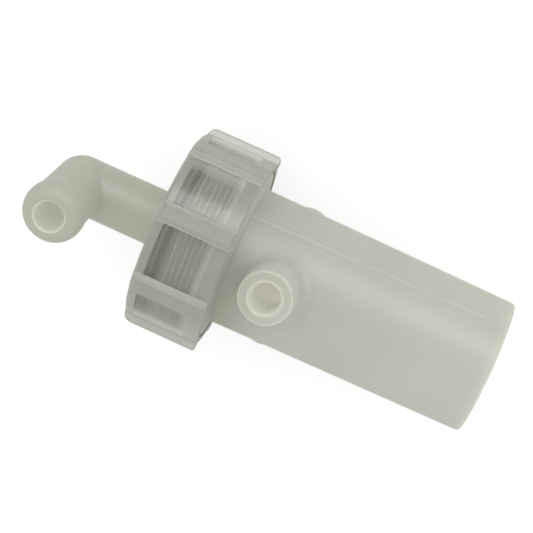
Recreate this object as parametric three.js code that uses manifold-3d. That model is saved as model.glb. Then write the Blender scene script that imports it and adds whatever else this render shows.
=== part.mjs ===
// Vented deck fill fitting: filler tube with a side hose port, ribbed union nut and 90 degree vent elbow.
// Millimetres, +Z up. The tube lies along X with its open end at +X and the hose port pointing up.
// Stations are distances from the tube's open end, measured back along the tube's axis.

import * as THREE from "three";
import { mergeVertices } from "three/addons/utils/BufferGeometryUtils.js";
import Module from "manifold-3d";

const wasm = await Module();
wasm.setup();

// Driving dimensions
const OVERALL_LENGTH = 127.7;
const AXIS_HEIGHT = 27.46;

const TUBE_END_RADIUS = 18.5;
const TUBE_NECK_RADIUS = 19.3;
const TUBE_BORE_RADIUS = 16.1;
const END_EDGE = 0.5;

const SHOULDER_STATION = 72.8;
const SHOULDER_SLOPE = 0.6;
const COLLAR_RADIUS = 24.1;
const COLLAR_BACK_STATION = 76.2;
const NECK_FACE_STATION = 86.4;
const NECK_ROOT_RADIUS = 23.0;
const NECK_BORE_RADIUS = 19.7;
const NECK_BORE_DEPTH = 10.6;
const NECK_FLOOR_CONE = 3;

const PORT_STATION = 60;
const PORT_HEIGHT = 29;
const PORT_MOUTH_RADIUS = 7.2;
const PORT_ROOT_RADIUS = 7.6;
const PORT_BORE_RADIUS = 3.9;
const PORT_LEAD_IN = 0.9;

const BOSS_RADIUS = 3.6;
const BOSS_TOP_RADIUS = 2.9;
const BOSS_STAND = 1.2;

const THREAD_PITCH = 3.2;
const THREAD_STATION = 77.8;
const THREAD_ANGLE = 3;
const NECK_THREAD_TURNS = 2.2;
const NECK_CREST_RADIUS = 24.2;
const NUT_THREAD_TURNS = 3.2;
const NUT_CREST_RADIUS = 23.5;
const RIDGE_ROOT_WIDTH = 1.7;
const RIDGE_CREST_WIDTH = 0.7;
const RIDGE_BURY = 0.4;

const NUT_FRONT_STATION = 73.1;
const NUT_BACK_STATION = 94.2;
const NUT_BODY_RADIUS = 26.4;
const NUT_WALL_RADIUS = 24.9;
const NUT_BAR_RADIUS = 28.6;
const NUT_BAR_WIDTH = 4.7;
const NUT_BAR_COUNT = 8;
const NUT_BAR_ROUND = 0.9;
const NUT_BAR_SETBACK = 0.2;
const NUT_BAR_PHASE = 19.75;
const NUT_EDGE = 0.9;
const NUT_LIP = 2.8;
const NUT_EYE_RADIUS = 17;

const FLANGE_RADIUS = 22.3;
const FLANGE_THICKNESS = 2;
const HUB_RADIUS = 16.4;
const HUB_BACK_STATION = 94.6;
const SPIGOT_RADIUS = 19.3;
const SPIGOT_BORE_RADIUS = 16.6;
const SPIGOT_FRONT_STATION = 77;
const RETAINER_GROOVE_RADIUS = 17.6;

const LEG_RADIUS = 7.8;
const KNEE_RADIUS = 7.95;
const VENT_BORE_RADIUS = 4.1;
const KNEE_HOLLOW_RADIUS = 4.25;
const KNEE_STATION = 119.5;
const STUB_YAW = 10.6;
const STUB_RADIUS = 7.6;
const STUB_BEAD_START = 18.5;
const STUB_BEAD_RISE = 1.5;
const STUB_BEAD_RADIUS = 8.2;
const STUB_REACH = 26.5;
const STUB_NOSE = 3.2;
const STUB_NOSE_BEND = 1.9;
const STUB_NOSE_RADIUS = 7.5;
const STUB_MOUTH_RADIUS = 6.2;

const SEAL_GAP = 0.1;
const SEAL_SECTION_STEPS = 8;
const WASHER_THICKNESS = 0.8;
const WASHER_BORE_RADIUS = 16.7;
const GASKET_THICKNESS = 1.6;
const GASKET_INNER_RADIUS = 20.2;
const GASKET_OUTER_RADIUS = 23.1;

const SPIGOT_RING_STATION = 83;
const SPIGOT_RING_WIDTH = 2.2;
const SPIGOT_GROOVE_RADIUS = 17.9;
const SPIGOT_GROOVE_WIDTH = 2.6;

const SEAT_RADIUS = 7.5;
const SEAT_BORE_RADIUS = 4.6;
const SEAT_THICKNESS = 2;

const BALL_RADIUS = 7.5;
const BALL_STATION = 73.2;

const CAGE_RING_RADIUS = 16.3;
const CAGE_BORE_RADIUS = 8.1;
const CAGE_RING_THICKNESS = 1.6;
const CAGE_BACK_STATION = 81.6;
const CAGE_FRONT_STATION = 66;
const CAGE_LEG_COUNT = 4;
const CAGE_LEG_RADIUS = 9.4;
const CAGE_LEG_WIDTH = 3;
const CAGE_LEG_THICKNESS = 2;
const CAGE_END_BORE_RADIUS = 5.2;

const RETAINER_INNER_RADIUS = 15.2;
const RETAINER_OUTER_RADIUS = 17.2;
const RETAINER_THICKNESS = 1.2;
const RETAINER_SPLIT = 4;
const RETAINER_PLAY = 0.2;

const ROUND_SEGMENTS = 40;
const SMALL_SEGMENTS = 28;
const BORE_SEGMENTS = 20;
const THREAD_STEPS_PER_TURN = 20;
const FINEST_DETAIL = 0.03;
const CUT_PAST = 1;
const RADIAN = Math.PI / 180;

// Places worked out from the driving dimensions
const FRONT_X = OVERALL_LENGTH / 2;
const at = (station) => FRONT_X - station;
const FLANGE_FRONT_STATION = NECK_FACE_STATION + GASKET_THICKNESS + 2 * SEAL_GAP;
const FLANGE_BACK_STATION = FLANGE_FRONT_STATION + FLANGE_THICKNESS;
const WASHER_FRONT_STATION = FLANGE_BACK_STATION + SEAL_GAP;
const LIP_STATION = NUT_BACK_STATION - NUT_LIP;
const stubDirection = new THREE.Vector3(0, -Math.sin(STUB_YAW * RADIAN), Math.cos(STUB_YAW * RADIAN));
const UP = new THREE.Vector3(0, 0, 1);
const ALONG = new THREE.Vector3(1, 0, 0);
const kneePoint = new THREE.Vector3(at(KNEE_STATION), 0, 0);

// Colours of the mouldings, before any finish
const naturalNylon = new THREE.MeshStandardMaterial({ color: 0xdfe0d2, roughness: 0.42, metalness: 0 });
const clearNylon = new THREE.MeshStandardMaterial({ color: 0xc6cdb8, roughness: 0.3, metalness: 0 });
const darkRubber = new THREE.MeshStandardMaterial({ color: 0x17191c, roughness: 0.6, metalness: 0 });
const greenRubber = new THREE.MeshStandardMaterial({ color: 0x1f6b4c, roughness: 0.55, metalness: 0 });
const whiteAcetal = new THREE.MeshStandardMaterial({ color: 0xe9e8e0, roughness: 0.35, metalness: 0 });

// A closed geometry as a solid: one merged point per place, and no triangle of zero width.
function solidOf(geometry) {
  const bare = geometry.clone();
  bare.deleteAttribute("normal");
  bare.deleteAttribute("uv");
  const merged = mergeVertices(bare, 1e-4);
  const index = merged.index.array;
  const kept = [];
  for (let i = 0; i < index.length; i += 3) {
    const [a, b, c] = [index[i], index[i + 1], index[i + 2]];
    if (a !== b && b !== c && c !== a) kept.push(a, b, c);
  }
  const vertProperties = new Float32Array(merged.attributes.position.array);
  const triVerts = new Uint32Array(kept);
  return new wasm.Manifold(new wasm.Mesh({ numProp: 3, vertProperties, triVerts }));
}

function geometryOf(solid) {
  const mesh = solid.simplify(FINEST_DETAIL).getMesh();
  const geometry = new THREE.BufferGeometry();
  geometry.setAttribute("position", new THREE.BufferAttribute(new Float32Array(mesh.vertProperties), 3));
  geometry.setIndex(new THREE.BufferAttribute(new Uint32Array(mesh.triVerts), 1));
  geometry.computeVertexNormals();
  return geometry;
}

// A turned solid. Its outline is [distance, radius] points, distances measured from origin along
// direction: outwards along the outside, then back along the inside. A solid without a bore starts and
// ends on the axis.
function turnedAlong(origin, direction, outline, segments = ROUND_SEGMENTS) {
  const points = outline.map(([distance, radius]) => new THREE.Vector2(radius, distance));
  if (points[0].x > 0) points.push(points[0].clone());
  const geometry = new THREE.LatheGeometry(points, segments);
  geometry.applyQuaternion(new THREE.Quaternion().setFromUnitVectors(new THREE.Vector3(0, 1, 0), direction));
  geometry.translate(origin.x, origin.y, origin.z);
  return solidOf(geometry);
}

// A turned solid on the tube's axis. Its outline is [station, radius] points.
function turned(outline) {
  return turnedAlong(new THREE.Vector3(at(0), 0, 0), new THREE.Vector3(-1, 0, 0), outline);
}

function ball(radius, centre, segments) {
  const geometry = new THREE.SphereGeometry(radius, segments, segments / 2);
  geometry.translate(centre.x, centre.y, centre.z);
  return solidOf(geometry);
}

// A helical ridge round the X axis with blunt ends. It stands from rootRadius to crestRadius, and two
// ridges that start half a turn apart mesh with each other.
function helicalRidge(turns, rootRadius, crestRadius, startAngle) {
  const outward = Math.sign(crestRadius - rootRadius);
  const buried = rootRadius - outward * RIDGE_BURY;
  const steps = Math.round(turns * THREAD_STEPS_PER_TURN);
  const positions = [];
  const index = [];
  for (let step = 0; step <= steps; step += 1) {
    const turn = step / THREAD_STEPS_PER_TURN;
    const angle = startAngle * RADIAN + turn * 2 * Math.PI;
    const x = at(THREAD_STATION + turn * THREAD_PITCH);
    const section = [
      [-RIDGE_ROOT_WIDTH / 2, buried],
      [-RIDGE_CREST_WIDTH / 2, crestRadius],
      [RIDGE_CREST_WIDTH / 2, crestRadius],
      [RIDGE_ROOT_WIDTH / 2, buried],
    ];
    for (const [along, radius] of section) {
      positions.push(x - along, radius * Math.sin(angle), radius * Math.cos(angle));
    }
  }
  for (let step = 0; step < steps; step += 1) {
    for (let side = 0; side < 4; side += 1) {
      const a = step * 4 + side;
      const b = step * 4 + ((side + 1) % 4);
      index.push(a, b, b + 4, a, b + 4, a + 4);
    }
  }
  const last = steps * 4;
  index.push(0, 2, 1, 0, 3, 2, last, last + 1, last + 2, last, last + 2, last + 3);
  if (outward > 0) index.reverse();
  const geometry = new THREE.BufferGeometry();
  geometry.setAttribute("position", new THREE.BufferAttribute(new Float32Array(positions), 3));
  geometry.setIndex(index);
  return solidOf(geometry);
}

// Tube, threaded neck, side hose port and the two small bosses, moulded in one.
function fillerBody() {
  const neckFloor = NECK_FACE_STATION - NECK_BORE_DEPTH;
  const wallMiddle = (TUBE_BORE_RADIUS + TUBE_NECK_RADIUS) / 2;
  const portFoot = new THREE.Vector3(at(PORT_STATION), 0, 0);
  const bossTop = TUBE_NECK_RADIUS + BOSS_STAND;

  let body = turned([
    [0, TUBE_END_RADIUS - END_EDGE],
    [END_EDGE, TUBE_END_RADIUS],
    [SHOULDER_STATION, TUBE_NECK_RADIUS],
    [SHOULDER_STATION + SHOULDER_SLOPE, COLLAR_RADIUS],
    [COLLAR_BACK_STATION, COLLAR_RADIUS],
    [COLLAR_BACK_STATION + END_EDGE, NECK_ROOT_RADIUS],
    [NECK_FACE_STATION - END_EDGE, NECK_ROOT_RADIUS],
    [NECK_FACE_STATION, NECK_ROOT_RADIUS - END_EDGE],
    [NECK_FACE_STATION, NECK_BORE_RADIUS],
    [neckFloor, NECK_BORE_RADIUS],
    [neckFloor - NECK_FLOOR_CONE, TUBE_BORE_RADIUS],
    [END_EDGE, TUBE_BORE_RADIUS],
    [0, TUBE_BORE_RADIUS + END_EDGE],
  ]);
  body = body.add(helicalRidge(NECK_THREAD_TURNS, NECK_ROOT_RADIUS, NECK_CREST_RADIUS, THREAD_ANGLE));

  body = body.add(turnedAlong(portFoot, UP, [
    [wallMiddle, 0],
    [wallMiddle, PORT_ROOT_RADIUS],
    [PORT_HEIGHT - END_EDGE, PORT_MOUTH_RADIUS],
    [PORT_HEIGHT, PORT_MOUTH_RADIUS - END_EDGE],
    [PORT_HEIGHT, 0],
  ], SMALL_SEGMENTS));
  for (const side of [-1, 1]) {
    body = body.add(turnedAlong(portFoot, new THREE.Vector3(0, side, 0), [
      [wallMiddle, 0],
      [wallMiddle, BOSS_RADIUS],
      [bossTop - END_EDGE, BOSS_RADIUS],
      [bossTop, BOSS_TOP_RADIUS],
      [bossTop, 0],
    ], SMALL_SEGMENTS));
  }
  return body.subtract(turnedAlong(portFoot, UP, [
    [0, 0],
    [0, PORT_BORE_RADIUS],
    [PORT_HEIGHT - PORT_LEAD_IN, PORT_BORE_RADIUS],
    [PORT_HEIGHT + CUT_PAST, PORT_BORE_RADIUS + PORT_LEAD_IN + CUT_PAST],
    [PORT_HEIGHT + CUT_PAST, 0],
  ], SMALL_SEGMENTS));
}

// One grip bar of the nut: a block with a rounded crown, drawn across the bar and extruded along it.
function gripBar(angle) {
  const half = NUT_BAR_WIDTH / 2;
  const crown = NUT_BAR_RADIUS - NUT_BAR_ROUND;
  const foot = (NUT_WALL_RADIUS + NUT_BODY_RADIUS) / 2;
  const outline = new THREE.Shape();
  outline.moveTo(-half, foot);
  outline.lineTo(half, foot);
  outline.absarc(half - NUT_BAR_ROUND, crown, NUT_BAR_ROUND, 0, Math.PI / 2, false);
  outline.absarc(NUT_BAR_ROUND - half, crown, NUT_BAR_ROUND, Math.PI / 2, Math.PI, false);
  outline.closePath();
  const depth = NUT_BACK_STATION - NUT_FRONT_STATION - 2 * NUT_BAR_SETBACK;
  const geometry = new THREE.ExtrudeGeometry(outline, { depth, bevelEnabled: false, curveSegments: 3 });
  // The outline's upright becomes the radius, and the extrusion runs along X.
  geometry.applyMatrix4(new THREE.Matrix4().makeBasis(
    new THREE.Vector3(0, 1, 0),
    new THREE.Vector3(0, 0, 1),
    new THREE.Vector3(1, 0, 0),
  ));
  geometry.rotateX(-angle * RADIAN);
  geometry.translate(at(NUT_BACK_STATION - NUT_BAR_SETBACK), 0, 0);
  return solidOf(geometry);
}

// Union nut: a cup with a lip at the elbow end, grip bars outside and a thread inside.
function unionNut() {
  let nut = turned([
    [NUT_FRONT_STATION, NUT_BODY_RADIUS - NUT_EDGE],
    [NUT_FRONT_STATION + NUT_EDGE, NUT_BODY_RADIUS],
    [NUT_BACK_STATION - NUT_EDGE, NUT_BODY_RADIUS],
    [NUT_BACK_STATION, NUT_BODY_RADIUS - NUT_EDGE],
    [NUT_BACK_STATION, NUT_EYE_RADIUS],
    [LIP_STATION, NUT_EYE_RADIUS],
    [LIP_STATION, NUT_WALL_RADIUS],
    [NUT_FRONT_STATION, NUT_WALL_RADIUS],
  ]);
  for (let bar = 0; bar < NUT_BAR_COUNT; bar += 1) {
    nut = nut.add(gripBar(NUT_BAR_PHASE + (bar * 360) / NUT_BAR_COUNT));
  }
  return nut.add(helicalRidge(NUT_THREAD_TURNS, NUT_WALL_RADIUS, NUT_CREST_RADIUS, THREAD_ANGLE + 180));
}

// Elbow: flange and spigot under the nut, leg along the axis, rounded knee and the hose stub.
function ventElbow() {
  const grooveBack = SPIGOT_RING_STATION + SPIGOT_GROOVE_WIDTH / 2;
  const grooveFront = SPIGOT_RING_STATION - SPIGOT_GROOVE_WIDTH / 2;
  const retainerBack = SPIGOT_FRONT_STATION + 2 * RETAINER_THICKNESS + RETAINER_PLAY;
  const retainerFront = SPIGOT_FRONT_STATION + RETAINER_THICKNESS;
  let elbow = turned([
    [FLANGE_FRONT_STATION, 0],
    [FLANGE_FRONT_STATION, SPIGOT_BORE_RADIUS],
    [retainerBack, SPIGOT_BORE_RADIUS],
    [retainerBack, RETAINER_GROOVE_RADIUS],
    [retainerFront, RETAINER_GROOVE_RADIUS],
    [retainerFront, SPIGOT_BORE_RADIUS],
    [SPIGOT_FRONT_STATION, SPIGOT_BORE_RADIUS],
    [SPIGOT_FRONT_STATION, SPIGOT_RADIUS],
    [grooveFront, SPIGOT_RADIUS],
    [grooveFront, SPIGOT_GROOVE_RADIUS],
    [grooveBack, SPIGOT_GROOVE_RADIUS],
    [grooveBack, SPIGOT_RADIUS],
    [FLANGE_FRONT_STATION, SPIGOT_RADIUS],
    [FLANGE_FRONT_STATION, FLANGE_RADIUS],
    [FLANGE_BACK_STATION, FLANGE_RADIUS],
    [FLANGE_BACK_STATION, HUB_RADIUS],
    [HUB_BACK_STATION - END_EDGE, HUB_RADIUS],
    [HUB_BACK_STATION, HUB_RADIUS - END_EDGE],
    [HUB_BACK_STATION, 0],
  ]);
  elbow = elbow.add(turnedAlong(kneePoint, ALONG, [
    [0, 0],
    [0, LEG_RADIUS],
    [KNEE_STATION - FLANGE_BACK_STATION, LEG_RADIUS],
    [KNEE_STATION - FLANGE_BACK_STATION, 0],
  ], SMALL_SEGMENTS));
  elbow = elbow.add(ball(KNEE_RADIUS, kneePoint, SMALL_SEGMENTS));
  elbow = elbow.add(turnedAlong(kneePoint, stubDirection, [
    [0, 0],
    [0, STUB_RADIUS],
    [STUB_BEAD_START, STUB_RADIUS],
    [STUB_BEAD_START + STUB_BEAD_RISE, STUB_BEAD_RADIUS],
    [STUB_REACH - STUB_NOSE, STUB_BEAD_RADIUS],
    [STUB_REACH - STUB_NOSE + STUB_NOSE_BEND, STUB_NOSE_RADIUS],
    [STUB_REACH, STUB_MOUTH_RADIUS],
    [STUB_REACH, 0],
  ], SMALL_SEGMENTS));
  elbow = elbow.subtract(ball(KNEE_HOLLOW_RADIUS, kneePoint, BORE_SEGMENTS));
  elbow = elbow.subtract(turnedAlong(kneePoint, ALONG, [
    [0, 0],
    [0, VENT_BORE_RADIUS],
    [KNEE_STATION - FLANGE_FRONT_STATION + CUT_PAST, VENT_BORE_RADIUS],
    [KNEE_STATION - FLANGE_FRONT_STATION + CUT_PAST, 0],
  ], BORE_SEGMENTS));
  return elbow.subtract(turnedAlong(kneePoint, stubDirection, [
    [0, 0],
    [0, VENT_BORE_RADIUS],
    [STUB_REACH - END_EDGE, VENT_BORE_RADIUS],
    [STUB_REACH + CUT_PAST, VENT_BORE_RADIUS + END_EDGE + CUT_PAST],
    [STUB_REACH + CUT_PAST, 0],
  ], BORE_SEGMENTS));
}

// A plain washer or ring of rectangular section.
function flatRing(frontStation, thickness, innerRadius, outerRadius) {
  return turned([
    [frontStation, outerRadius],
    [frontStation + thickness, outerRadius],
    [frontStation + thickness, innerRadius],
    [frontStation, innerRadius],
  ]);
}

// Gasket of L section: a flat ring on the neck's face, and a skirt round the flange that centres it.
function neckGasket() {
  const front = NECK_FACE_STATION + SEAL_GAP;
  const skirtBore = FLANGE_RADIUS + SEAL_GAP;
  return turned([
    [front, GASKET_OUTER_RADIUS],
    [FLANGE_BACK_STATION, GASKET_OUTER_RADIUS],
    [FLANGE_BACK_STATION, skirtBore],
    [front + GASKET_THICKNESS, skirtBore],
    [front + GASKET_THICKNESS, GASKET_INNER_RADIUS],
    [front, GASKET_INNER_RADIUS],
  ]);
}

// An O-ring squeezed to an oval between two radii.
function sealRing(station, width, innerRadius, outerRadius) {
  const middle = (innerRadius + outerRadius) / 2;
  const half = (outerRadius - innerRadius) / 2;
  const outline = [];
  for (let step = 0; step < SEAL_SECTION_STEPS; step += 1) {
    const angle = (step / SEAL_SECTION_STEPS) * 2 * Math.PI;
    outline.push([station - (width / 2) * Math.cos(angle), middle + half * Math.sin(angle)]);
  }
  return turned(outline);
}

// Open cage: a ring inside the spigot, four legs and a front ring that stops the ball.
function floatCage() {
  let cage = flatRing(
    CAGE_BACK_STATION - CAGE_RING_THICKNESS, CAGE_RING_THICKNESS, CAGE_BORE_RADIUS, CAGE_RING_RADIUS,
  );
  cage = cage.add(flatRing(
    CAGE_FRONT_STATION, CAGE_RING_THICKNESS, CAGE_END_BORE_RADIUS, CAGE_LEG_RADIUS + CAGE_LEG_THICKNESS / 2,
  ));
  const length = CAGE_BACK_STATION - CAGE_FRONT_STATION - CAGE_RING_THICKNESS;
  for (let leg = 0; leg < CAGE_LEG_COUNT; leg += 1) {
    const box = new THREE.BoxGeometry(length, CAGE_LEG_WIDTH, CAGE_LEG_THICKNESS);
    box.translate(at(CAGE_FRONT_STATION + CAGE_RING_THICKNESS / 2 + length / 2), 0, CAGE_LEG_RADIUS);
    box.rotateX((leg * 2 * Math.PI) / CAGE_LEG_COUNT + Math.PI / 4);
    cage = cage.add(solidOf(box));
  }
  return cage;
}

// Split ring in the spigot's groove that keeps the cage in.
function cageRetainer() {
  const front = SPIGOT_FRONT_STATION + RETAINER_THICKNESS + RETAINER_PLAY / 2;
  const gap = new THREE.BoxGeometry(
    RETAINER_THICKNESS + 2 * CUT_PAST, RETAINER_SPLIT, RETAINER_OUTER_RADIUS,
  );
  gap.translate(at(front + RETAINER_THICKNESS / 2), 0, -RETAINER_OUTER_RADIUS);
  return flatRing(front, RETAINER_THICKNESS, RETAINER_INNER_RADIUS, RETAINER_OUTER_RADIUS)
    .subtract(solidOf(gap));
}

const slipWasher = flatRing(WASHER_FRONT_STATION, WASHER_THICKNESS, WASHER_BORE_RADIUS, GASKET_OUTER_RADIUS);
const spigotRing = sealRing(
  SPIGOT_RING_STATION, SPIGOT_RING_WIDTH, SPIGOT_GROOVE_RADIUS + SEAL_GAP, NECK_BORE_RADIUS - SEAL_GAP,
);
const valveSeat = flatRing(
  FLANGE_FRONT_STATION - SEAL_GAP - SEAT_THICKNESS, SEAT_THICKNESS, SEAT_BORE_RADIUS, SEAT_RADIUS,
);
const floatBall = ball(BALL_RADIUS, new THREE.Vector3(at(BALL_STATION), 0, 0), BORE_SEGMENTS);

const parts = [
  ["filler_body", fillerBody(), naturalNylon],
  ["union_nut", unionNut(), clearNylon],
  ["vent_elbow", ventElbow(), naturalNylon],
  ["slip_washer", slipWasher, whiteAcetal],
  ["neck_gasket", neckGasket(), darkRubber],
  ["spigot_o_ring", spigotRing, greenRubber],
  ["valve_seat", valveSeat, darkRubber],
  ["float_cage", floatCage(), whiteAcetal],
  ["cage_retainer", cageRetainer(), whiteAcetal],
  ["float_ball", floatBall, whiteAcetal],
];

const fitting = new THREE.Group();
for (const [name, solid, material] of parts) {
  const mesh = new THREE.Mesh(geometryOf(solid), material);
  mesh.name = name;
  fitting.add(mesh);
}
fitting.position.z = AXIS_HEIGHT;

export default fitting;
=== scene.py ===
"""Deck fill fitting in natural nylon: smooth meshes, materials, light and camera round the CAD frame."""

import math

import bmesh
import bpy
from mathutils import Matrix, Vector


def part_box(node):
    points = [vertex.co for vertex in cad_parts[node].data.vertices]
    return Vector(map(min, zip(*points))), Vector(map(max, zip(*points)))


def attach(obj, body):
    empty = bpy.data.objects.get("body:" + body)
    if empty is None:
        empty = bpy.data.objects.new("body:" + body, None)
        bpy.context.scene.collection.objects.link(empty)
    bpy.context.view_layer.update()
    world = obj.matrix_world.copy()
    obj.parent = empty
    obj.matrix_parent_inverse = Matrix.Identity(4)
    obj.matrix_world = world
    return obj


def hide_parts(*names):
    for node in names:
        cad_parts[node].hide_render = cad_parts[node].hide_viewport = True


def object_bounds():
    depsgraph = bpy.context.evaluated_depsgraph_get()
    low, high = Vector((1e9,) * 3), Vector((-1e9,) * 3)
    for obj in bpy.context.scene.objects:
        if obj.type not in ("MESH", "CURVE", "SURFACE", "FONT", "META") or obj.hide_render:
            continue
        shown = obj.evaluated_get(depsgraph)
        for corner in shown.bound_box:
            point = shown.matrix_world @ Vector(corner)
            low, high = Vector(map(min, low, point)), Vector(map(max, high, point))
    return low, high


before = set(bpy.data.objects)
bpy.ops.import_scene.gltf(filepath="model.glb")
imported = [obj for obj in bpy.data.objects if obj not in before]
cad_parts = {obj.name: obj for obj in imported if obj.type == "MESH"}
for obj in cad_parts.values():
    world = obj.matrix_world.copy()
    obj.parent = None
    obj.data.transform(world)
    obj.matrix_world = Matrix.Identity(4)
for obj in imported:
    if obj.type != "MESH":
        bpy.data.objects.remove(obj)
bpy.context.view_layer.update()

MM = 0.001
FULL_TURN = 2 * math.pi

# Places from the frame: the tube's axis, its open end and the elbow's far end.
nut_low, nut_high = (Vector(corner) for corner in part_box("union_nut"))
AXIS_Z = (nut_low.z + nut_high.z) / 2
FRONT_X = Vector(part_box("filler_body")[1]).x
BACK_X = Vector(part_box("vent_elbow")[0]).x

# Sizes in millimetres. A station is the distance back from the tube's open end.
TUBE_END_RADIUS = 18.5
TUBE_NECK_RADIUS = 19.3
TUBE_BORE_RADIUS = 16.1
SHOULDER_STATION = 72.8
SHOULDER_SLOPE = 0.6
COLLAR_RADIUS = 24.1
COLLAR_BACK = 76.2
NECK_STATION = 86.4
NECK_BORE_DEPTH = 10.6
NECK_ROOT_RADIUS = 23.0
NECK_CREST_RADIUS = 24.2
NECK_BORE_RADIUS = 19.7
THREAD_PITCH = 3.2
THREAD_START = 77.8
NECK_TURNS = 2.2
NUT_TURNS = 3.2
THREAD_ANGLE = math.radians(3)
THREAD_STEP = 0.18

NUT_FRONT = 73.1
NUT_BACK = 94.2
NUT_BODY_RADIUS = 26.4
NUT_WALL_RADIUS = 24.9
NUT_CREST_RADIUS = 23.5
NUT_MOUTH_RADIUS = 24.4
NUT_EYE_RADIUS = 17.0
NUT_LIP = 2.8
BAR_COUNT = 8
BAR_PHASE = math.radians(19.75)
BAR_WIDTH = 4.7
BAR_HEIGHT = 2.2
BAR_END_ROUND = 2.4

PORT_STATION = 60.0
PORT_HEIGHT = 29.0
PORT_MOUTH_RADIUS = 7.2
PORT_ROOT_RADIUS = 7.6
PORT_BORE_RADIUS = 3.9
PORT_TAPER_HEIGHT = 24.0
PORT_FOOT_ROUND = 3.0
PORT_SIDES = 128
PORT_FLARE_STEPS = 12

KNEE_STATION = 119.5
KNEE_RADIUS = 7.84
KNEE_HOLLOW_RADIUS = 4.25
KNEE_STEPS = 40
KNEE_AXIS = Vector((0, 0.6, 0.8))
LEG_RADIUS = 7.8
VENT_BORE_RADIUS = 4.1
VENT_HUB_RADIUS = 16.4
VENT_HUB_BACK = 94.6
FLANGE_RADIUS = 22.3
FLANGE_FRONT = 88.2
FLANGE_BACK = 90.2
SPIGOT_FRONT = 77.0
SPIGOT_RADIUS = 19.3
SPIGOT_BORE_RADIUS = 16.6
RING_GROOVE_RADIUS = 17.9
RING_GROOVE_FRONT = 81.7
RING_GROOVE_BACK = 84.3
CAGE_GROOVE_RADIUS = 17.6
CAGE_GROOVE_FRONT = 79.5
CAGE_GROOVE_BACK = 80.9
STUB_YAW = math.radians(10.6)
STUB_REACH = 26.5
STUB_RADIUS = 7.78
STUB_BEAD_RADIUS = 8.35
STUB_STEPS = 40
STUB_NOSE_REACH = 22.4
STUB_FACE_RADIUS = 5.0
STUB_NOSE_STEPS = 12


def point(station, radius=0.0, angle=0.0):
    """A place in metres: station along the tube, radius from its axis, angle from up towards +Y."""
    return Vector((
        FRONT_X - station * MM,
        radius * MM * math.sin(angle),
        AXIS_Z + radius * MM * math.cos(angle),
    ))


def smoothstep(low, high, value):
    t = min(1.0, max(0.0, (value - low) / (high - low)))
    return t * t * (3 - 2 * t)


# ---------------------------------------------------------------- mesh helpers

def link(name, mesh):
    obj = bpy.data.objects.new(name, mesh)
    bpy.context.scene.collection.objects.link(obj)
    return obj


def finished(name, bm):
    """A bmesh as a smooth object with outward faces."""
    bmesh.ops.remove_doubles(bm, verts=bm.verts, dist=1e-7)
    bmesh.ops.recalc_face_normals(bm, faces=bm.faces)
    mesh = bpy.data.meshes.new(name)
    bm.to_mesh(mesh)
    bm.free()
    mesh.shade_smooth()
    return link(name, mesh)


def rounded(outline, steps=5):
    """An outline with its corners turned into arcs. Each entry is (distance, radius, corner round)."""
    points = []
    count = len(outline)
    for i, (s, r, corner) in enumerate(outline):
        here = Vector((s, r))
        if corner <= 0:
            points.append(here)
            continue
        before = Vector(outline[i - 1][:2]) - here
        after = Vector(outline[(i + 1) % count][:2]) - here
        reach = min(corner, before.length * 0.49, after.length * 0.49)
        start = here + before.normalized() * reach
        end = here + after.normalized() * reach
        for k in range(steps + 1):
            t = k / steps
            points.append(start * (1 - t) ** 2 + here * 2 * t * (1 - t) + end * t * t)
    return points


def divided(points, longest, thread_radius=None):
    """The same closed outline with no stretch longer than `longest`, and with far shorter ones where a
    thread is to rise from it."""
    result = []
    for a, b in zip(points, points[1:] + points[:1]):
        on_thread = thread_radius and max(abs(a.y - thread_radius), abs(b.y - thread_radius)) < 0.01
        parts = max(1, math.ceil((b - a).length / (THREAD_STEP if on_thread else longest)))
        result += [a.lerp(b, k / parts) for k in range(parts)]
    return result


def even_angles(count):
    return [FULL_TURN * k / count for k in range(count)]


def turned(name, outline, angles=None, shift=None):
    """A closed outline of (station, radius) turned about the tube's axis. `shift(station, radius, angle)`
    gives a radius change, for threads, bars and bosses."""
    angles = angles or even_angles(160)
    bm = bmesh.new()
    rings = []
    for angle in angles:
        ring = []
        for s, r in outline:
            change = shift(s, r, angle) if shift else 0.0
            ring.append(bm.verts.new(point(s, r + change, angle)))
        rings.append(ring)
    for j in range(len(rings)):
        near, far = rings[j], rings[(j + 1) % len(rings)]
        for i in range(len(outline)):
            k = (i + 1) % len(outline)
            bm.faces.new((near[i], near[k], far[k], far[i]))
    return finished(name, bm)


def turned_along(name, origin, direction, outline, count=96):
    """A solid of revolution about any line. The outline runs from the axis, out, and back to it."""
    turn = Vector((0, 0, 1)).rotation_difference(direction)
    bm = bmesh.new()
    rings = []
    for distance, radius in outline:
        if radius < 1e-6:
            rings.append([bm.verts.new(origin + turn @ Vector((0, 0, distance * MM)))])
            continue
        ring = []
        for angle in even_angles(count):
            flat = Vector((radius * MM * math.cos(angle), radius * MM * math.sin(angle), distance * MM))
            ring.append(bm.verts.new(origin + turn @ flat))
        rings.append(ring)
    for low, high in zip(rings, rings[1:]):
        for k in range(count):
            n = (k + 1) % count
            if len(low) == 1:
                bm.faces.new((low[0], high[k], high[n]))
            elif len(high) == 1:
                bm.faces.new((low[k], low[n], high[0]))
            else:
                bm.faces.new((low[k], low[n], high[n], high[k]))
    return finished(name, bm)


def boolean(target, tool, operation):
    """Joins a tool to a target, or cuts it away, and removes the tool."""
    modifier = target.modifiers.new(operation, "BOOLEAN")
    modifier.operation = operation
    modifier.solver = "EXACT"
    modifier.object = tool
    graph = bpy.context.evaluated_depsgraph_get()
    mesh = bpy.data.meshes.new_from_object(target.evaluated_get(graph))
    target.modifiers.clear()
    target.data = mesh
    bpy.data.objects.remove(tool)
    return target


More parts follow.
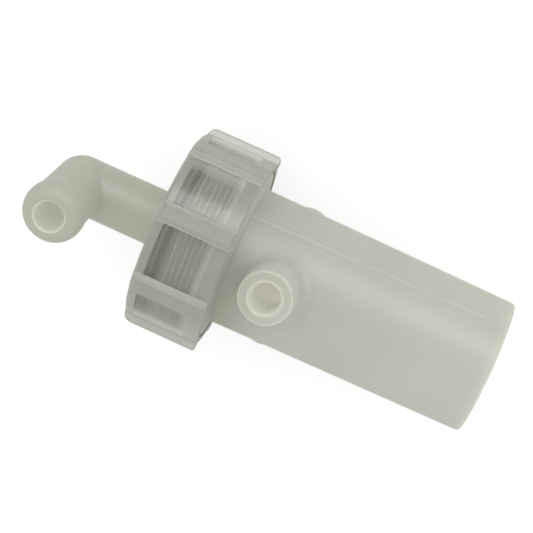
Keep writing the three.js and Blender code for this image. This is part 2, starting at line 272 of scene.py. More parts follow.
def keep_edges_crisp(obj, degrees):
    """Smooth shading that breaks where faces meet at more than the angle."""
    bm = bmesh.new()
    bm.from_mesh(obj.data)
    limit = math.radians(degrees)
    for edge in bm.edges:
        if len(edge.link_faces) == 2 and edge.calc_face_angle() > limit:
            edge.smooth = False
    bm.to_mesh(obj.data)
    bm.free()


# ---------------------------------------------------------------- camera

CAMERA_DISTANCE = 431.3
CAMERA_ELEVATION = math.radians(75.1)
CAMERA_TURN = math.radians(76.7)
CAMERA_ROLL = math.radians(-142.7)
CAMERA_AIM = Vector((-0.8, 0.3, 0.0))
SENSOR_WIDTH = 36
LENS_LENGTH = 108.2


def make_camera():
    data = bpy.data.cameras.new("camera")
    data.sensor_width = SENSOR_WIDTH
    data.lens = LENS_LENGTH
    data.clip_start = 0.01
    camera = bpy.data.objects.new("camera", data)
    bpy.context.scene.collection.objects.link(camera)
    away = Vector((
        math.cos(CAMERA_ELEVATION) * math.cos(CAMERA_TURN),
        math.cos(CAMERA_ELEVATION) * math.sin(CAMERA_TURN),
        math.sin(CAMERA_ELEVATION),
    ))
    aim = Vector(((FRONT_X + BACK_X) / 2, 0, AXIS_Z)) + CAMERA_AIM * MM
    level = away.to_track_quat("Z", "Y").to_matrix().to_4x4()
    camera.matrix_world = (
        Matrix.Translation(aim + away * CAMERA_DISTANCE * MM) @ level @ Matrix.Rotation(CAMERA_ROLL, 4, "Z")
    )
    bpy.context.scene.camera = camera


# ---------------------------------------------------------------- shapes

SEAM_BACK_ANGLE = math.radians(49.5)
SEAM_FRONT_ANGLE = math.radians(54.5)
SEAM_END_STATION = 4.0
UNDER_SEAM_ANGLE = math.radians(-40)
SEAM_HALF_WIDTH = 0.45
SEAM_HEIGHT = 0.12
GROOVE_DEPTH = 0.06
BOSS_HALF_LENGTH = 3.3
BOSS_HEIGHT = 0.9
BOSS_STATION = 58.6


def seam_profile(offset):
    """Height of the seam at an offset across it: a low bead between two shallow grooves."""
    bead = SEAM_HEIGHT * math.exp(-((offset / SEAM_HALF_WIDTH) ** 2))
    grooves = sum(math.exp(-(((offset - side * 0.95) / 0.32) ** 2)) for side in (-1, 1))
    step = 0.05 * math.exp(-(((offset - 1.75) / 0.35) ** 2))
    return bead - GROOVE_DEPTH * grooves + step


def seam_angle(station):
    return SEAM_FRONT_ANGLE + (SEAM_BACK_ANGLE - SEAM_FRONT_ANGLE) * station / SHOULDER_STATION


def place_of(position):
    """Station and radius, in millimetres, of a place in metres."""
    return (FRONT_X - position.x) / MM, math.hypot(position.y, position.z - AXIS_Z) / MM


def wrapped(angle):
    return (angle + math.pi) % FULL_TURN - math.pi


def thread_height(station, angle, turns, phase):
    """0 in the root to 1 on the crest of a helical thread with blunt ends."""
    part_turn = wrapped(angle - phase) / FULL_TURN
    travel = round((station - THREAD_START) / THREAD_PITCH - part_turn) + part_turn
    off = abs(station - THREAD_START - travel * THREAD_PITCH)
    flank = 1 - smoothstep(0.45, 1.1, off)
    ends = smoothstep(-0.04, 0.06, travel) * (1 - smoothstep(turns - 0.06, turns + 0.04, travel))
    return flank * ends


def body_shift(station, radius, angle):
    if radius < (TUBE_BORE_RADIUS + TUBE_END_RADIUS) / 2:
        return 0.0
    if station > SHOULDER_STATION:
        if abs(radius - NECK_ROOT_RADIUS) > 0.05:
            return 0.0
        height = thread_height(station, angle, NECK_TURNS, THREAD_ANGLE)
        return (NECK_CREST_RADIUS - NECK_ROOT_RADIUS) * height
    run_out = smoothstep(SEAM_END_STATION - 0.6, SEAM_END_STATION + 0.6, station)
    offset = wrapped(angle - seam_angle(station)) * radius
    change = seam_profile(offset) * run_out if abs(offset) < 4 else 0.0
    offset = wrapped(angle - UNDER_SEAM_ANGLE) * radius
    if abs(offset) < 4:
        change += 0.45 * seam_profile(-offset) * run_out
    for side in (-1, 1):
        across = wrapped(angle - side * math.pi / 2) * radius
        away = math.hypot(station - BOSS_STATION, across)
        if away < 2 * BOSS_HALF_LENGTH:
            change += BOSS_HEIGHT * (1 - smoothstep(BOSS_HALF_LENGTH * 0.25, BOSS_HALF_LENGTH * 1.25, away))
    return change


def body_angles():
    """Even angles, closer together round the seams and the bosses."""
    angles = even_angles(180)
    for centre, reach in (
        (SEAM_BACK_ANGLE, 10), (SEAM_FRONT_ANGLE, 10), (UNDER_SEAM_ANGLE, 8), (math.pi / 2, 14),
        (-math.pi / 2, 14),
    ):
        angles += [centre % FULL_TURN + math.radians(k * 0.5) for k in range(-2 * reach, 2 * reach + 1)]
    angles = sorted(a % FULL_TURN for a in angles)
    kept = [angles[0]]
    for a in angles[1:]:
        if a - kept[-1] > math.radians(0.35):
            kept.append(a)
    return kept


def tube_height(across):
    """How high the tube's outside stands above its axis, at a distance beside the axis."""
    return math.sqrt(TUBE_NECK_RADIUS ** 2 - across ** 2)


def port_fillet(foot_round):
    """The side port: a tapered spigot whose foot flares into the tube. Closed at both ends."""
    bm = bmesh.new()
    centre = point(PORT_STATION)
    out = PORT_ROOT_RADIUS + foot_round
    rings = []
    mouth = rounded([
        (PORT_HEIGHT, 0.0, 0),
        (PORT_HEIGHT, PORT_MOUTH_RADIUS, 0.45),
        (PORT_TAPER_HEIGHT, PORT_MOUTH_RADIUS + 0.18, 0),
    ], 6)[:-1]
    for height, radius in mouth:
        rings.append([(radius, height)] * PORT_SIDES)
    for k in range(PORT_FLARE_STEPS + 1):
        t = k / PORT_FLARE_STEPS
        ring = []
        for angle in even_angles(PORT_SIDES):
            knee_height = tube_height(PORT_ROOT_RADIUS * math.sin(angle))
            start = Vector((PORT_ROOT_RADIUS - 0.08, knee_height + foot_round))
            corner = Vector((PORT_ROOT_RADIUS, knee_height + 0.1))
            end = Vector((out, tube_height(out * math.sin(angle)) - 0.12))
            place = start * (1 - t) ** 2 + corner * 2 * t * (1 - t) + end * t * t
            ring.append((place.x, place.y))
        rings.append(ring)
    rings.append([(PORT_ROOT_RADIUS - 1, TUBE_BORE_RADIUS + 0.8)] * PORT_SIDES)
    rows = []
    for ring in rings:
        row = []
        for angle, (radius, height) in zip(even_angles(PORT_SIDES), ring):
            offset = Vector((-radius * math.cos(angle), radius * math.sin(angle), height)) * MM
            row.append(bm.verts.new(centre + offset))
        rows.append(row)
    for low, high in zip(rows, rows[1:]):
        for k in range(PORT_SIDES):
            n = (k + 1) % PORT_SIDES
            bm.faces.new((low[k], low[n], high[n], high[k]))
    bm.faces.new(rows[-1])
    return finished("port", bm)


def make_body():
    outline = rounded([
        (0.0, TUBE_END_RADIUS, 0.9),
        (SHOULDER_STATION, TUBE_NECK_RADIUS, 0.6),
        (SHOULDER_STATION + SHOULDER_SLOPE, COLLAR_RADIUS, 0.3),
        (COLLAR_BACK, COLLAR_RADIUS, 0.2),
        (COLLAR_BACK + 0.3, NECK_ROOT_RADIUS, 0.2),
        (NECK_STATION, NECK_ROOT_RADIUS, 0.5),
        (NECK_STATION, NECK_BORE_RADIUS, 0.3),
        (NECK_STATION - NECK_BORE_DEPTH, NECK_BORE_RADIUS, 0.5),
        (NECK_STATION - NECK_BORE_DEPTH - 3, TUBE_BORE_RADIUS, 0.5),
        (0.0, TUBE_BORE_RADIUS, 0.6),
    ])
    outline = divided(outline, 1.5, NECK_ROOT_RADIUS)
    body = turned("body_moulding", outline, body_angles(), body_shift)
    boolean(body, port_fillet(PORT_FOOT_ROUND), "UNION")
    bore = turned_along("bore", point(PORT_STATION), Vector((0, 0, 1)), [
        (4.0, 0.0), (4.0, PORT_BORE_RADIUS), (PORT_HEIGHT - 1.1, PORT_BORE_RADIUS),
        (PORT_HEIGHT - 0.7, PORT_BORE_RADIUS + 0.12), (PORT_HEIGHT - 0.3, PORT_BORE_RADIUS + 0.45),
        (PORT_HEIGHT + 0.6, PORT_BORE_RADIUS + 1.9), (PORT_HEIGHT + 0.6, 0.0),
    ])
    boolean(body, bore, "DIFFERENCE")
    # Faces by place: the port's bore gets the glowing bore nylon and the tube's inside the lighter inside
    # nylon, both painted light; the neck thread's flanks get the dark flank nylon, painted shade.
    for face in body.data.polygons:
        station, radius = place_of(face.center)
        across = math.hypot(station - PORT_STATION, face.center.y / MM)
        if across < PORT_BORE_RADIUS + 1.1 and face.center.z > AXIS_Z + TUBE_BORE_RADIUS * MM:
            face.material_index = 4
        elif radius < TUBE_BORE_RADIUS + 0.3:
            face.material_index = 1
        elif station > COLLAR_BACK + 0.2 and radius > NECK_BORE_RADIUS + 0.3:
            rise = (radius - NECK_ROOT_RADIUS) / (NECK_CREST_RADIUS - NECK_ROOT_RADIUS)
            face.material_index = 2 if 0.06 < rise < 0.94 and station > COLLAR_BACK + 0.8 else 3
    keep_edges_crisp(body, 32)
    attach(body, "housing")
    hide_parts("filler_body")
    return body


def bar_weight(angle, radius):
    """1 on a grip bar, 0 between bars."""
    step = FULL_TURN / BAR_COUNT
    off = abs((angle - BAR_PHASE + step / 2) % step - step / 2) * radius
    side = 0.9 * (1 - smoothstep(BAR_WIDTH / 2 - 0.35, BAR_WIDTH / 2 + 0.15, off))
    foot = 0.1 * (1 - smoothstep(BAR_WIDTH / 2, BAR_WIDTH / 2 + 0.9, off))
    sink = 0.05 * (1 - smoothstep(0, BAR_WIDTH / 2 - 0.4, off))
    return side + foot - sink


def nut_shift(station, radius, angle):
    if radius > NUT_WALL_RADIUS + 0.2:
        past = min(1.0, max(0.0, (station - NUT_BACK) / BAR_END_ROUND + 1))
        return bar_weight(angle, NUT_BODY_RADIUS + 1) * BAR_HEIGHT * math.sqrt(1 - past * past)
    if NUT_FRONT + 1 < station < NUT_BACK - NUT_LIP - 1 and radius > NUT_WALL_RADIUS - 0.05:
        height = thread_height(station, angle, NUT_TURNS, THREAD_ANGLE + math.pi)
        return (NUT_CREST_RADIUS - NUT_WALL_RADIUS) * height
    return 0.0


def nut_angles():
    angles = even_angles(96)
    step = FULL_TURN / BAR_COUNT
    for bar in range(BAR_COUNT):
        for side in (-1, 1):
            edge = BAR_PHASE + bar * step + side * BAR_WIDTH / 2 / (NUT_BODY_RADIUS + 1)
            angles += [edge + k * 0.12 / NUT_BODY_RADIUS for k in range(-9, 10)]
    return sorted(set(round(a % FULL_TURN, 5) for a in angles))


def make_nut():
    outline = rounded([
        (NUT_FRONT, NUT_BODY_RADIUS, 0.8),
        (NUT_BACK, NUT_BODY_RADIUS, 1.5),
        (NUT_BACK, NUT_EYE_RADIUS, 0.4),
        (NUT_BACK - NUT_LIP, NUT_EYE_RADIUS, 0.3),
        (NUT_BACK - NUT_LIP, NUT_WALL_RADIUS, 0.3),
        (NUT_FRONT + 1.0, NUT_WALL_RADIUS, 0.3),
        (NUT_FRONT + 0.7, NUT_MOUTH_RADIUS, 0.1),
        (NUT_FRONT, NUT_MOUTH_RADIUS, 0.1),
    ])
    outline = divided(outline, 0.4, NUT_WALL_RADIUS)
    nut = turned("nut_moulding", outline, nut_angles(), nut_shift)
    for face in nut.data.polygons:
        station, radius = place_of(face.center)
        angle = math.atan2(face.center.y, face.center.z - AXIS_Z)
        rise = (radius - NUT_BODY_RADIUS) / BAR_HEIGHT
        at_end = station < NUT_FRONT + 0.7 or station > NUT_BACK - 0.7
        if 0.015 < bar_weight(angle, NUT_BODY_RADIUS + 1) < 0.92 and -0.05 < rise < 0.93:
            face.material_index = 2
        elif rise > 0.5 or station > NUT_BACK - NUT_LIP or station < THREAD_START - 0.7 or at_end:
            face.material_index = 1
    keep_edges_crisp(nut, 40)
    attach(nut, "nut")
    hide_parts("union_nut")
    return nut


def ball(radius):
    """Half a circle from end to end of a diameter, to be turned into a ball."""
    turns = [math.pi * k / KNEE_STEPS for k in range(KNEE_STEPS + 1)]
    outline = [(-math.cos(turn) * radius, math.sin(turn) * radius) for turn in turns]
    outline[0], outline[-1] = (-radius, 0.0), (radius, 0.0)
    return outline


def stub_outline():
    """The stub's side: straight, then swelling to a bead, then a rounded nose."""
    outline = [(0.0, 0.0)]
    for k in range(STUB_STEPS + 1):
        reach = STUB_NOSE_REACH * k / STUB_STEPS
        swell = smoothstep(STUB_NOSE_REACH - 6.0, STUB_NOSE_REACH - 0.5, reach)
        outline.append((reach, STUB_RADIUS + (STUB_BEAD_RADIUS - STUB_RADIUS) * swell))
    nose_height = STUB_REACH - STUB_NOSE_REACH
    for k in range(1, STUB_NOSE_STEPS + 1):
        turn = math.radians(90 * k / STUB_NOSE_STEPS)
        outline.append((
            STUB_NOSE_REACH + nose_height * math.sin(turn),
            STUB_FACE_RADIUS + (STUB_BEAD_RADIUS - STUB_FACE_RADIUS) * math.cos(turn),
        ))
    outline.append((STUB_REACH, 0.0))
    return outline


def make_elbow():
    knee = point(KNEE_STATION)
    stub = Vector((0, -math.sin(STUB_YAW), math.cos(STUB_YAW)))
    along = Vector((1, 0, 0))
    flange = turned("elbow_moulding", divided(rounded([
        (FLANGE_FRONT, FLANGE_RADIUS, 0.3),
        (FLANGE_BACK, FLANGE_RADIUS, 0.3),
        (FLANGE_BACK, VENT_HUB_RADIUS, 0.3),
        (VENT_HUB_BACK, VENT_HUB_RADIUS, 0.6),
        (VENT_HUB_BACK, 6.0, 0),
        (FLANGE_FRONT, 6.0, 0),
        (FLANGE_FRONT, SPIGOT_BORE_RADIUS, 0.2),
        (CAGE_GROOVE_BACK, SPIGOT_BORE_RADIUS, 0.1),
        (CAGE_GROOVE_BACK, CAGE_GROOVE_RADIUS, 0),
        (CAGE_GROOVE_FRONT, CAGE_GROOVE_RADIUS, 0),
        (CAGE_GROOVE_FRONT, SPIGOT_BORE_RADIUS, 0.1),
        (SPIGOT_FRONT, SPIGOT_BORE_RADIUS, 0.3),
        (SPIGOT_FRONT, SPIGOT_RADIUS, 0.4),
        (RING_GROOVE_FRONT, SPIGOT_RADIUS, 0.1),
        (RING_GROOVE_FRONT, RING_GROOVE_RADIUS, 0.2),
        (RING_GROOVE_BACK, RING_GROOVE_RADIUS, 0.2),
        (RING_GROOVE_BACK, SPIGOT_RADIUS, 0.1),
        (FLANGE_FRONT, SPIGOT_RADIUS, 0.2),
    ]), 1.5))
    leg = turned_along("leg", knee, along, [
        (0.0, 0.0), (0.0, LEG_RADIUS), (24.2, LEG_RADIUS), (24.9, LEG_RADIUS + 0.15),
        (25.6, LEG_RADIUS + 1.0), (28.0, LEG_RADIUS + 1.0), (30.5, LEG_RADIUS + 0.5), (30.5, 0.0),
    ])
    boolean(flange, leg, "UNION")
    boolean(flange, turned_along("knee", knee, KNEE_AXIS, ball(KNEE_RADIUS)), "UNION")
    boolean(flange, turned_along("stub", knee, stub, stub_outline()), "UNION")
    boolean(flange, turned_along("hollow", knee, KNEE_AXIS, ball(KNEE_HOLLOW_RADIUS)), "DIFFERENCE")
    boolean(flange, turned_along("bore", knee, along, [
        (0.0, 0.0), (0.0, VENT_BORE_RADIUS), (34.0, VENT_BORE_RADIUS), (34.0, 0.0),
    ]), "DIFFERENCE")
    boolean(flange, turned_along("mouth", knee, stub, [
        (0.0, 0.0), (0.0, VENT_BORE_RADIUS), (STUB_REACH - 0.6, VENT_BORE_RADIUS),
        (STUB_REACH - 0.25, VENT_BORE_RADIUS + 0.15), (STUB_REACH + 0.8, VENT_BORE_RADIUS + 1.2),
        (STUB_REACH + 0.8, 0.0),
    ]), "DIFFERENCE")
    # The leg's and the stub's bores get the glowing bore nylon: painted light inside them.
    for face in flange.data.polygons:
        station, radius = place_of(face.center)
        reach = (face.center - knee).dot(stub) / MM
        off_stub = ((face.center - knee) - stub * (reach * MM)).length / MM
        in_leg = radius < VENT_BORE_RADIUS + 0.2 and station < KNEE_STATION
        in_stub = off_stub < VENT_BORE_RADIUS + 0.5 and reach > -1
        if in_leg or in_stub:
            face.material_index = 1
    keep_edges_crisp(flange, 34)
    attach(flange, "elbow")
    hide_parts("vent_elbow")
    return flange


def make_ring(name, node, carrier, outline):
    """A smooth seal or washer, turned from its section, in place of its CAD node."""
    ring = turned(name, rounded(outline))
    keep_edges_crisp(ring, 40)
    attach(ring, carrier)
    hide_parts(node)
    return ring


# ---------------------------------------------------------------- materials

def new_material(name):
    material = bpy.data.materials.new(name)
    material.use_nodes = True
    return material, material.node_tree.nodes, material.node_tree.links


def nylon(name, base, shade, roughness, depth, clear=0.0, bump=0.1, grain=700, painted_glow=0.0, specular=0.32):
    """Moulded nylon: slightly uneven colour, a soft wavy surface and light that sinks in. Its glow is
    painted light: emission that stands in for light carried through the translucent walls.
    """
    material, nodes, links = new_material(name)
    shader = nodes["Principled BSDF"]
    place = nodes.new("ShaderNodeTexCoord")
    cloud = nodes.new("ShaderNodeTexNoise")
    cloud.inputs["Scale"].default_value = 45
    cloud.inputs["Detail"].default_value = 3
    links.new(place.outputs["Object"], cloud.inputs["Vector"])
    ramp = nodes.new("ShaderNodeValToRGB")
    ramp.color_ramp.elements[0].position = 0.3
    ramp.color_ramp.elements[0].color = (*shade, 1)
    ramp.color_ramp.elements[1].position = 0.7
    ramp.color_ramp.elements[1].color = (*base, 1)
    links.new(cloud.outputs["Fac"], ramp.inputs["Fac"])
    links.new(ramp.outputs["Color"], shader.inputs["Base Color"])
    fine = nodes.new("ShaderNodeTexNoise")
    fine.inputs["Scale"].default_value = grain
    fine.inputs["Detail"].default_value = 4
    links.new(place.outputs["Object"], fine.inputs["Vector"])
    dent = nodes.new("ShaderNodeBump")
    dent.inputs["Strength"].default_value = bump
    dent.inputs["Distance"].default_value = 0.0002
    links.new(fine.outputs["Fac"], dent.inputs["Height"])
    links.new(dent.outputs["Normal"], shader.inputs["Normal"])
    shader.inputs["Roughness"].default_value = roughness
    shader.inputs["IOR"].default_value = 1.5
    shader.inputs["Specular IOR Level"].default_value = specular
    shader.inputs["Subsurface Weight"].default_value = 0.0 if clear else 1.0
    shader.inputs["Subsurface Radius"].default_value = (1.0, 0.95, 0.8)
    shader.inputs["Subsurface Scale"].default_value = depth * MM
    shader.inputs["Transmission Weight"].default_value = clear
    # Painted glow: the nylon gives off light in its own colour, though it is no lamp.
    shader.inputs["Emission Color"].default_value = (*base, 1)
    shader.inputs["Emission Strength"].default_value = painted_glow
    return material


def span(nodes, links, source, start, end, least=0.0):
    """`least` before start and 1 past end, along one coordinate."""
    part = nodes.new("ShaderNodeMapRange")
    part.interpolation_type = "SMOOTHSTEP"
    part.inputs["From Min"].default_value = start
    part.inputs["From Max"].default_value = end
    part.inputs["To Min"].default_value = least
    links.new(source, part.inputs["Value"])
    return part.outputs["Result"]


def place_on_piece(nodes, links):
    """A surface point's X, Y and Z on the piece, in metres."""
    place = nodes.new("ShaderNodeTexCoord")
    split = nodes.new("ShaderNodeSeparateXYZ")
    links.new(place.outputs["Object"], split.inputs["Vector"])
    return split.outputs


def product(nodes, links, first, second):
    """Two shares multiplied. The second may be a plain number."""
    node = nodes.new("ShaderNodeMath")
    node.operation = "MULTIPLY"
    links.new(first, node.inputs[0])
    if isinstance(second, float):
        node.inputs[1].default_value = second
    else:
        links.new(second, node.inputs[1])
    return node.outputs[0]


def tint(nodes, links, share, colour):
    """Mixes a colour into the base colour that a material already has."""
    base = nodes["Principled BSDF"].inputs["Base Color"]
    mix = nodes.new("ShaderNodeMix")
    mix.data_type = "RGBA"
    links.new(share, mix.inputs["Factor"])
    links.new(base.links[0].from_socket, mix.inputs["A"])
    mix.inputs["B"].default_value = (*colour, 1)
    links.new(mix.outputs["Result"], base)


MOUTH_SHARE = 0.6
CLEARER_FROM = 86.8
CLEARER_TO = 88.6
SHARE_BEFORE = 0.88


def haze(material, stops, clear_from=None, clear_to=None):
    """How much light the wall lets through, from the slant it is looked through at: `stops` holds pairs of
    slant, 0 face on to 1 edge on, and share let through. The shares needn't fall as the slant grows. With
    two stations, the wall is hazier up to them, at the nut's mouth, and a little clearer by the gasket."""
    nodes, links = material.node_tree.nodes, material.node_tree.links
    facing = nodes.new("ShaderNodeLayerWeight")
    ramp = nodes.new("ShaderNodeValToRGB")
    ends = ramp.color_ramp.elements
    while len(ends) < len(stops):
        ends.new(0.5)
    for end, (slant, share) in zip(ends, stops):
        end.position = slant
        end.color = (share, share, share, 1)
    links.new(facing.outputs["Facing"], ramp.inputs["Fac"])
    let_through = ramp.outputs["Color"]
    if clear_from:
        along = place_on_piece(nodes, links)["X"]
        mouth_start = FRONT_X - clear_from * MM
        mouth_end = FRONT_X - clear_to * MM
        mouth = span(nodes, links, along, mouth_start, mouth_end, MOUTH_SHARE)
        back_start = FRONT_X - CLEARER_FROM * MM
        back_end = FRONT_X - CLEARER_TO * MM
        back = span(nodes, links, along, back_start, back_end, SHARE_BEFORE)
        let_through = product(nodes, links, let_through, mouth)
        let_through = product(nodes, links, let_through, back)
    links.new(let_through, nodes["Principled BSDF"].inputs["Transmission Weight"])


def shade_side(material, start, end, colour):
    """Another colour on one side of the neck's threads: it comes in from one distance beside the axis to
    another. It stands in for the light that would reach them through the nut's wall."""
    nodes, links = material.node_tree.nodes, material.node_tree.links
    across = place_on_piece(nodes, links)["Y"]
    tint(nodes, links, span(nodes, links, across, start * MM, end * MM), colour)


def band(material, station, half_width, strength, colour):
    """A soft-edged band of another colour round a piece, at a station."""
    nodes, links = material.node_tree.nodes, material.node_tree.links
    along = place_on_piece(nodes, links)["X"]
    middle = FRONT_X - station * MM
    reach = half_width * MM
    rise = span(nodes, links, along, middle - reach, middle - half_width * MM / 3)
    fall = span(nodes, links, along, middle + reach, middle + half_width * MM / 3)
    both = product(nodes, links, rise, fall)
    tint(nodes, links, product(nodes, links, both, strength), colour)


# Colours and strengths of the painted shade by the neck and the painted light towards the open end, on the
# rim and at the port's mouth.
PAINTED_NECK_SHADE = (0.24, 0.25, 0.18)
PAINTED_TUBE_LIGHT = (0.8, 0.8, 0.7)
PAINTED_RIM_LIGHT = (0.9, 0.9, 0.8)
PLUS_SIDE_SHARE = 0.3
NECK_STRENGTH = 0.68
TUBE_STRENGTH = 0.10
RIM_STRENGTH = 0.09
PORT_STRENGTH = 0.05


def paint_light_and_shade_along_tube(material):
    """Paints light and shade into the body's colour by place: painted shade by the neck, above all on its -Y
    side, and painted light towards the tube's open end, at its rim and at the port's mouth."""
    nodes, links = material.node_tree.nodes, material.node_tree.links
    place = place_on_piece(nodes, links)
    neck = span(nodes, links, place["X"], FRONT_X - 54 * MM, FRONT_X - 74 * MM)
    minus_side = span(nodes, links, place["Y"], 12 * MM, -12 * MM)
    port_mouth = span(nodes, links, place["Z"], AXIS_Z + 27.4 * MM, AXIS_Z + 28.9 * MM)
    rim = span(nodes, links, place["X"], FRONT_X - 4 * MM, FRONT_X - 0.5 * MM)
    half = span(nodes, links, place["X"], FRONT_X - 45 * MM, FRONT_X)
    by_side = nodes.new("ShaderNodeMath")
    by_side.operation = "MULTIPLY_ADD"
    links.new(minus_side, by_side.inputs[0])
    by_side.inputs[1].default_value = 1 - PLUS_SIDE_SHARE
    by_side.inputs[2].default_value = PLUS_SIDE_SHARE
    dark = product(nodes, links, neck, by_side.outputs[0])
    tint(nodes, links, product(nodes, links, dark, NECK_STRENGTH), PAINTED_NECK_SHADE)
    tint(nodes, links, product(nodes, links, half, TUBE_STRENGTH), PAINTED_TUBE_LIGHT)
    tint(nodes, links, product(nodes, links, rim, RIM_STRENGTH), PAINTED_RIM_LIGHT)
    tint(nodes, links, product(nodes, links, port_mouth, PORT_STRENGTH), PAINTED_RIM_LIGHT)


PAINTED_DEEP_SHADE = (0.45, 0.46, 0.46)


def paint_shade_inside(material):
    """Painted shade: the tube's inside gets darker the farther it is from the open end, for the light that
    falls off deeper in.
    """
    nodes, links = material.node_tree.nodes, material.node_tree.links
    along = place_on_piece(nodes, links)["X"]
    tint(nodes, links, span(nodes, links, along, FRONT_X - 25 * MM, FRONT_X - 58 * MM), PAINTED_DEEP_SHADE)


def rubber(name, colour):
    material, nodes, links = new_material(name)
    shader = nodes["Principled BSDF"]
    place = nodes.new("ShaderNodeTexCoord")
    grain = nodes.new("ShaderNodeTexNoise")
    grain.inputs["Scale"].default_value = 900
    links.new(place.outputs["Object"], grain.inputs["Vector"])
    dark = nodes.new("ShaderNodeValToRGB")
    dark.color_ramp.elements[0].color = (*[c * 0.7 for c in colour], 1)
    dark.color_ramp.elements[1].color = (*[min(1, c * 1.3) for c in colour], 1)
    links.new(grain.outputs["Fac"], dark.inputs["Fac"])
    links.new(dark.outputs["Color"], shader.inputs["Base Color"])
    shader.inputs["Roughness"].default_value = 0.55
    return material


FLOOR_GLOW = 0.58
STAGE_REACH = 3.0
BACKDROP_SIDES = 96


def make_stage():
    """A wide pale floor, just under the lowest piece."""
    bm = bmesh.new()
    half = STAGE_REACH
    floor_z = min(0.0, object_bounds()[0][2])
    for x, y in ((-half, -half), (half, -half), (half, half), (-half, half)):
        bm.verts.new((x, y, floor_z))
    bm.faces.new(bm.verts)
    floor = finished("floor", bm)
    material, nodes, _ = new_material("floor_white")
    shader = nodes["Principled BSDF"]
    shader.inputs["Base Color"].default_value = (0.5, 0.5, 0.5, 1)
    shader.inputs["Roughness"].default_value = 0.9
    shader.inputs["Specular IOR Level"].default_value = 0.1
    shader.inputs["Emission Color"].default_value = (1, 1, 1, 1)
    shader.inputs["Emission Strength"].default_value = FLOOR_GLOW
    floor.data.materials.append(material)
    floor.visible_glossy = False
    make_backdrop(half, floor_z)


def make_backdrop(radius, floor_z):
    """A white wall all round, seen by the camera alone, so that low views have a plain background."""
    bm = bmesh.new()
    rows = []
    for z in (floor_z, floor_z + STAGE_REACH):
        row = []
        for angle in even_angles(BACKDROP_SIDES):
            row.append(bm.verts.new((radius * math.cos(angle), radius * math.sin(angle), z)))
        rows.append(row)
    for k in range(BACKDROP_SIDES):
        n = (k + 1) % BACKDROP_SIDES
        bm.faces.new((rows[0][k], rows[0][n], rows[1][n], rows[1][k]))
    wall = finished("backdrop", bm)
    material, nodes, _ = new_material("backdrop_white")
    shader = nodes["Principled BSDF"]
    shader.inputs["Base Color"].default_value = (0, 0, 0, 1)
    shader.inputs["Specular IOR Level"].default_value = 0.0
    shader.inputs["Emission Color"].default_value = (1, 1, 1, 1)
    shader.inputs["Emission Strength"].default_value = 1.0
    wall.data.materials.append(material)
    wall.visible_diffuse = False
    wall.visible_glossy = False
    wall.visible_transmission = False
    wall.visible_shadow = False


def area_light(name, place, target, length, width, power, gloss_only=False):
    """A soft box with its long side level. One that is gloss only is seen in reflections alone."""
    data = bpy.data.lights.new(name, "AREA")
    data.shape = "RECTANGLE"
    data.size = length
    data.size_y = width
    data.energy = power
    lamp = bpy.data.objects.new(name, data)
    bpy.context.scene.collection.objects.link(lamp)
    lamp.visible_diffuse = not gloss_only
    lamp.visible_transmission = not gloss_only
    lamp.matrix_world = (
        Matrix.Translation(place) @ (place - target).to_track_quat("Z", "Y").to_matrix().to_4x4()
    )


LOW_SKY = 0.35
HIGH_SKY = 0.96
KEY_PLACE = Vector((0.0, 0.45, 0.75))
GLOSS_PLACE = Vector((0.0, 0.56, 0.60))


def make_light():
    world = bpy.data.worlds.new("studio")
    world.use_nodes = True
    nodes, links = world.node_tree.nodes, world.node_tree.links
    place = nodes.new("ShaderNodeTexCoord")
    split = nodes.new("ShaderNodeSeparateXYZ")
    links.new(place.outputs["Generated"], split.inputs["Vector"])
    up = span(nodes, links, split.outputs["Z"], -0.25, 0.35)
    sky = nodes.new("ShaderNodeMix")
    sky.data_type = "RGBA"
    links.new(up, sky.inputs["Factor"])
    sky.inputs["A"].default_value = (*[LOW_SKY] * 3, 1)
    sky.inputs["B"].default_value = (*[HIGH_SKY] * 3, 1)
    links.new(sky.outputs["Result"], nodes["Background"].inputs["Color"])
    bpy.context.scene.world = world
    centre = Vector((0, 0, AXIS_Z))
    area_light("key", KEY_PLACE, centre, 1.1, 0.5, 1.2)
    area_light("gloss", GLOSS_PLACE, centre, 1.2, 0.34, 6.0, gloss_only=True)


make_camera()
make_light()

# Every glow here is painted light, standing in for light carried through the translucent nylon: faint on the
# body and its inside, strong on the whole elbow and strongest in the bores.
natural = nylon("natural_nylon", (0.445, 0.445, 0.39), (0.42, 0.42, 0.367), 0.40, 2.2, painted_glow=0.16)
paint_light_and_shade_along_tube(natural)
elbow_nylon = nylon("natural_nylon_elbow", (0.33, 0.33, 0.28), (0.31, 0.31, 0.26), 0.42, 2.5, painted_glow=0.42)
# The inside nylon is a lighter copy of the natural nylon: painted light on the tube's inner walls.
natural_inside = nylon("natural_nylon_inside", (0.70, 0.70, 0.62), (0.66, 0.66, 0.58), 0.4, 20.0, painted_glow=0.13)
paint_shade_inside(natural_inside)
natural_bore = nylon("natural_nylon_bore", (0.34, 0.34, 0.295), (0.31, 0.31, 0.27), 0.3, 6.0, painted_glow=0.75)

# The ring shows green through the neck. The neck isn't see-through here, so the thread over the ring is
# tinted instead, and again more faintly in front of it.
RING_STATION = 83.1
FAINT_RING_STATION = 79.8
RING_GREEN = (0.01, 0.26, 0.10)
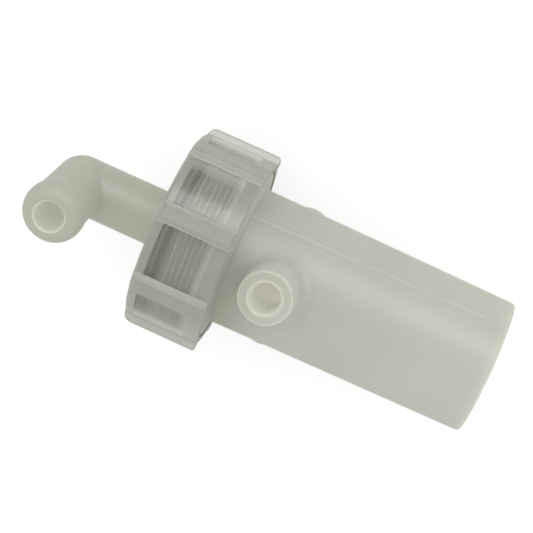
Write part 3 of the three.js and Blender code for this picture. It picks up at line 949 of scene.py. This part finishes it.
# The flanks' nylon is a dark copy of the crest's: painted shade in the thread's grooves, for the stripes
# seen through the nut.
thread_flank = nylon("natural_nylon_thread_flank", (0.10, 0.115, 0.08), (0.07, 0.085, 0.055), 0.5, 0.5)
thread_crest = nylon("natural_nylon_thread_crest", (0.40, 0.415, 0.34), (0.35, 0.37, 0.30), 0.4, 0.8)
for material in (thread_flank, thread_crest):
    band(material, RING_STATION, 1.7, 0.95, RING_GREEN)
    band(material, FAINT_RING_STATION, 1.2, 0.5, RING_GREEN)
    shade_side(material, 17.2, 19.0, (0.42, 0.43, 0.37))
    shade_side(material, -9.0, -15.0, (0.17, 0.175, 0.13))
clear_wall = nylon(
    "clear_nylon", (0.65, 0.67, 0.57), (0.61, 0.63, 0.53), 0.22, 0.0,
    clear=0.8, bump=0.02, grain=90, specular=0.15,
)
haze(clear_wall, [(0.19, 0.86), (0.27, 0.54), (0.45, 0.80), (0.62, 0.72), (0.82, 0.1)], 76.5, 79.5)
clear_bar = nylon(
    "clear_nylon_thick", (0.48, 0.495, 0.425), (0.44, 0.455, 0.39), 0.3, 0.0, clear=0.4, bump=0.05, grain=90,
)
haze(clear_bar, [(0.2, 0.4), (0.45, 0.22), (0.8, 0.05)])
clear_edge = nylon(
    "clear_nylon_edge", (0.60, 0.62, 0.55), (0.56, 0.58, 0.51), 0.25, 0.0, clear=0.3, bump=0.05, grain=90,
)
acetal = nylon("white_acetal", (0.75, 0.75, 0.72), (0.68, 0.68, 0.65), 0.35, 1.0)
black_rubber = rubber("dark_rubber", (0.012, 0.016, 0.018))
green_rubber = rubber("green_rubber", (0.02, 0.16, 0.10))
gasket_rubber = rubber("dark_rubber_gasket", (0.009, 0.022, 0.021))
# Two bands on the gasket: a dark grey one at 87.2, and at 88.5 a light line that is a painted highlight
# round the gasket.
band(gasket_rubber, 87.2, 1.3, 0.9, (0.10, 0.105, 0.10))
band(gasket_rubber, 88.5, 0.4, 0.9, (0.40, 0.41, 0.36))


def dress(piece, *materials):
    for material in materials:
        piece.data.materials.append(material)


dress(make_body(), natural, natural_inside, thread_flank, thread_crest, natural_bore)
dress(make_nut(), clear_wall, clear_bar, clear_edge)
dress(make_elbow(), elbow_nylon, natural_bore)
dress(make_ring("slip_washer_ring", "slip_washer", "nut_thrust", [
    (90.3, 23.1, 0.2), (91.1, 23.1, 0.2), (91.1, 16.7, 0.1), (90.3, 16.7, 0.1),
]), acetal)
dress(make_ring("neck_gasket_ring", "neck_gasket", "housing", [
    (86.5, 23.1, 0.5), (90.2, 23.1, 0.3), (90.2, 22.4, 0.1),
    (88.1, 22.4, 0), (88.1, 20.2, 0.3), (86.5, 20.2, 0.3),
]), gasket_rubber)
dress(make_ring("spigot_o_ring_seal", "spigot_o_ring", "elbow", [
    (81.9, 19.6, 1.0), (84.1, 19.6, 1.0), (84.1, 18.0, 1.0), (81.9, 18.0, 1.0),
]), green_rubber)
dress(make_ring("valve_seat_disc", "valve_seat", "elbow", [
    (86.1, 7.5, 0.3), (88.1, 7.5, 0.2), (88.1, 4.6, 0.2), (86.1, 4.6, 0.8),
]), black_rubber)
for node in ("float_cage", "cage_retainer", "float_ball"):
    part = bpy.data.objects[node]
    part.data.materials.clear()
    part.data.materials.append(acetal)

make_stage()
scene = bpy.context.scene
scene.view_settings.view_transform = "Standard"
